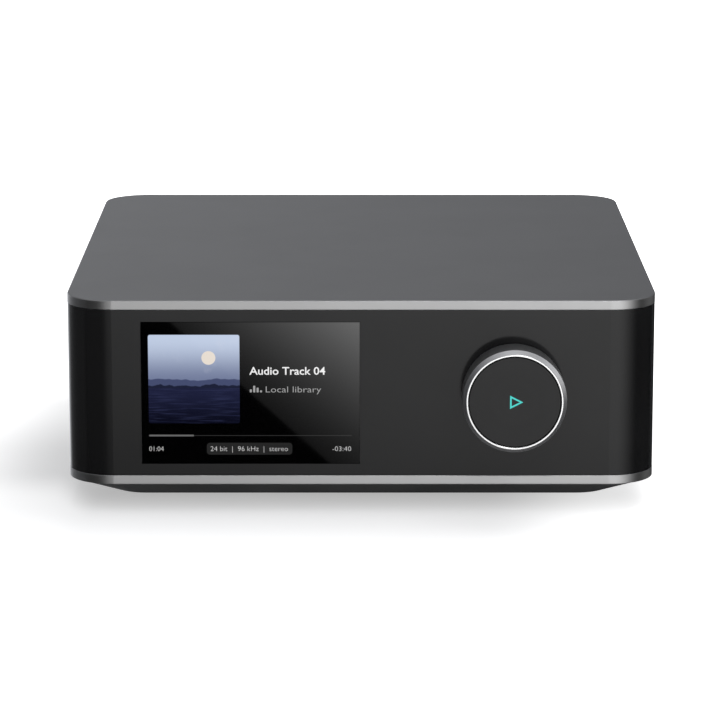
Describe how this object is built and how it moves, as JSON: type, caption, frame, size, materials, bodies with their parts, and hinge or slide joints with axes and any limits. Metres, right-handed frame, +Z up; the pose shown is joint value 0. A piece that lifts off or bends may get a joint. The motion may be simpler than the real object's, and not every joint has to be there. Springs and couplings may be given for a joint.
{
  "type": "streaming amplifier",
  "caption": "Desktop streaming amplifier: aluminium case, black front with colour display, volume knob with play button, rear sockets and speaker posts.",
  "frame": {"origin": "on the ground under the middle of the case; the box's middle is 1.3 mm behind it, because the speaker caps reach further than the knob", "axes": "+Z up, -Y out of the front with the display, +X to the right seen from the front"},
  "size_m": [0.2, 0.2434, 0.073],
  "materials": {
    "anodised_case": "fine blasted, grey anodised",
    "dark_base": "fine moulded",
    "foot_rubber": "matt rubber",
    "black_fascia": "satin black",
    "rear_black": "fine black powder coat",
    "display_glass": "polished cover glass",
    "display_panel": "display panel",
    "steel": "plain zinc plated",
    "socket_steel": "tin plated",
    "amber_film": "polyimide film",
    "knob_dark": "dark grey anodised",
    "bright_trim": "diamond cut",
    "button_dark": "satin black",
    "icon_light": "lit from behind",
    "clear_guide": "clear light guide",
    "white_plastic": "moulded",
    "black_plastic": "moulded",
    "dark_screw": "black oxide",
    "circuit_board": "solder mask",
    "supply_card": "bare laminate",
    "brass": "plated",
    "cap_black": "fluted cap",
    "cap_red": "fluted cap",
    "rca_core": "moulded",
    "shutter_grey": "moulded",
    "heat_sink_metal": "extruded",
    "ferrite": "sintered",
    "capacitor_sleeve": "shrunk sleeve"
  },
  "bodies": {
    "case": {"antenna_board": "circuit_board", "antenna_lead": "black_plastic", "base_pan": "dark_base", "base_screws": "dark_screw", "board_screws": "steel", "board_standoffs": "brass", "button_guide": "white_plastic", "capacitors": "capacitor_sleeve", "case_shell": "anodised_case", "display_bracket": "steel", "display_flex": "amber_film", "display_frame": "steel", "display_lens": "display_glass", "display_panel": "display_panel", "encoder_body": "black_plastic", "foot_ring": "foot_rubber", "front_board": "circuit_board", "front_fascia": "black_fascia", "front_ribbon": "white_plastic", "front_screws": "steel", "hdmi_socket": "socket_steel", "heat_sink": "heat_sink_metal", "inlet_pins": "brass", "lan_socket": "socket_steel", "main_board": "circuit_board", "main_chips": "black_plastic", "mains_choke": "ferrite", "mains_leads": "black_plastic", "optical_socket": "black_plastic", "output_coils": "ferrite", "play_switch": "black_plastic", "post_insulators": "black_plastic", "post_nuts": "brass", "post_studs": "brass", "power_inlet": "black_plastic", "rca_housing": "rca_core", "rca_sleeves": "brass", "rear_panel": "rear_black", "rear_screws": "dark_screw", "speaker_leads": "cap_red", "supply_board": "supply_card", "supply_harness": "white_plastic", "transformer": "ferrite", "usb_socket": "socket_steel"},
    "knob": {"volume_knob": "knob_dark", "knob_trim_ring": "bright_trim", "encoder_shaft": "white_plastic"},
    "button": {"play_button": "button_dark", "play_icon_lens": "icon_light", "light_guide_stem": "clear_guide", "switch_actuator": "white_plastic"},
    "shutter": {"optical_shutter": "shutter_grey"},
    "clamp_1": {"post_clamp_1": "brass"},
    "cap_1": {"post_cap_1": "cap_black"},
    "clamp_2": {"post_clamp_2": "brass"},
    "cap_2": {"post_cap_2": "cap_red"},
    "clamp_3": {"post_clamp_3": "brass"},
    "cap_3": {"post_cap_3": "cap_black"},
    "clamp_4": {"post_clamp_4": "brass"},
    "cap_4": {"post_cap_4": "cap_red"}
  },
  "joints": [
    {"name": "knob_turn", "type": "hinge", "parent": "case", "child": "knob", "pos_m": [0.0514, -0.11, 0.04091], "axis": [0, 1, 0], "continuous": true},
    {"name": "button_press", "type": "slide", "parent": "case", "child": "button", "axis": [0, 1, 0], "range_m": [0, 0.0005], "stiffness_N_per_m": 1500, "springref_m": -0.0006},
    {"name": "shutter_swing", "type": "hinge", "parent": "case", "child": "shutter", "pos_m": [0.0245, 0.1026, 0.0256], "axis": [-1, 0, 0], "range_deg": [0, 75], "stiffness_Nm_per_rad": 0.0004, "springref_deg": -22.92},
    {"name": "clamp_travel_1", "type": "slide", "parent": "case", "child": "clamp_1", "axis": [0, 1, 0], "range_m": [0, 0.003]},
    {"name": "cap_turn_1", "type": "hinge", "parent": "clamp_1", "child": "cap_1", "pos_m": [0.061, 0.115, 0.0505], "axis": [0, 1, 0], "range_deg": [0, 1440]},
    {"name": "clamp_travel_2", "type": "slide", "parent": "case", "child": "clamp_2", "axis": [0, 1, 0], "range_m": [0, 0.003]},
    {"name": "cap_turn_2", "type": "hinge", "parent": "clamp_2", "child": "cap_2", "pos_m": [0.04195, 0.115, 0.0505], "axis": [0, 1, 0], "range_deg": [0, 1440]},
    {"name": "clamp_travel_3", "type": "slide", "parent": "case", "child": "clamp_3", "axis": [0, 1, 0], "range_m": [0, 0.003]},
    {"name": "cap_turn_3", "type": "hinge", "parent": "clamp_3", "child": "cap_3", "pos_m": [0.0229, 0.115, 0.0505], "axis": [0, 1, 0], "range_deg": [0, 1440]},
    {"name": "clamp_travel_4", "type": "slide", "parent": "case", "child": "clamp_4", "axis": [0, 1, 0], "range_m": [0, 0.003]},
    {"name": "cap_turn_4", "type": "hinge", "parent": "clamp_4", "child": "cap_4", "pos_m": [0.00385, 0.115, 0.0505], "axis": [0, 1, 0], "range_deg": [0, 1440]}
  ],
  "couplings": [
    {"joint": "cap_turn_1", "follows": "clamp_travel_1", "rad_per_m": 8377.6},
    {"joint": "cap_turn_2", "follows": "clamp_travel_2", "rad_per_m": 8377.6},
    {"joint": "cap_turn_3", "follows": "clamp_travel_3", "rad_per_m": 8377.6},
    {"joint": "cap_turn_4", "follows": "clamp_travel_4", "rad_per_m": 8377.6}
  ]
}
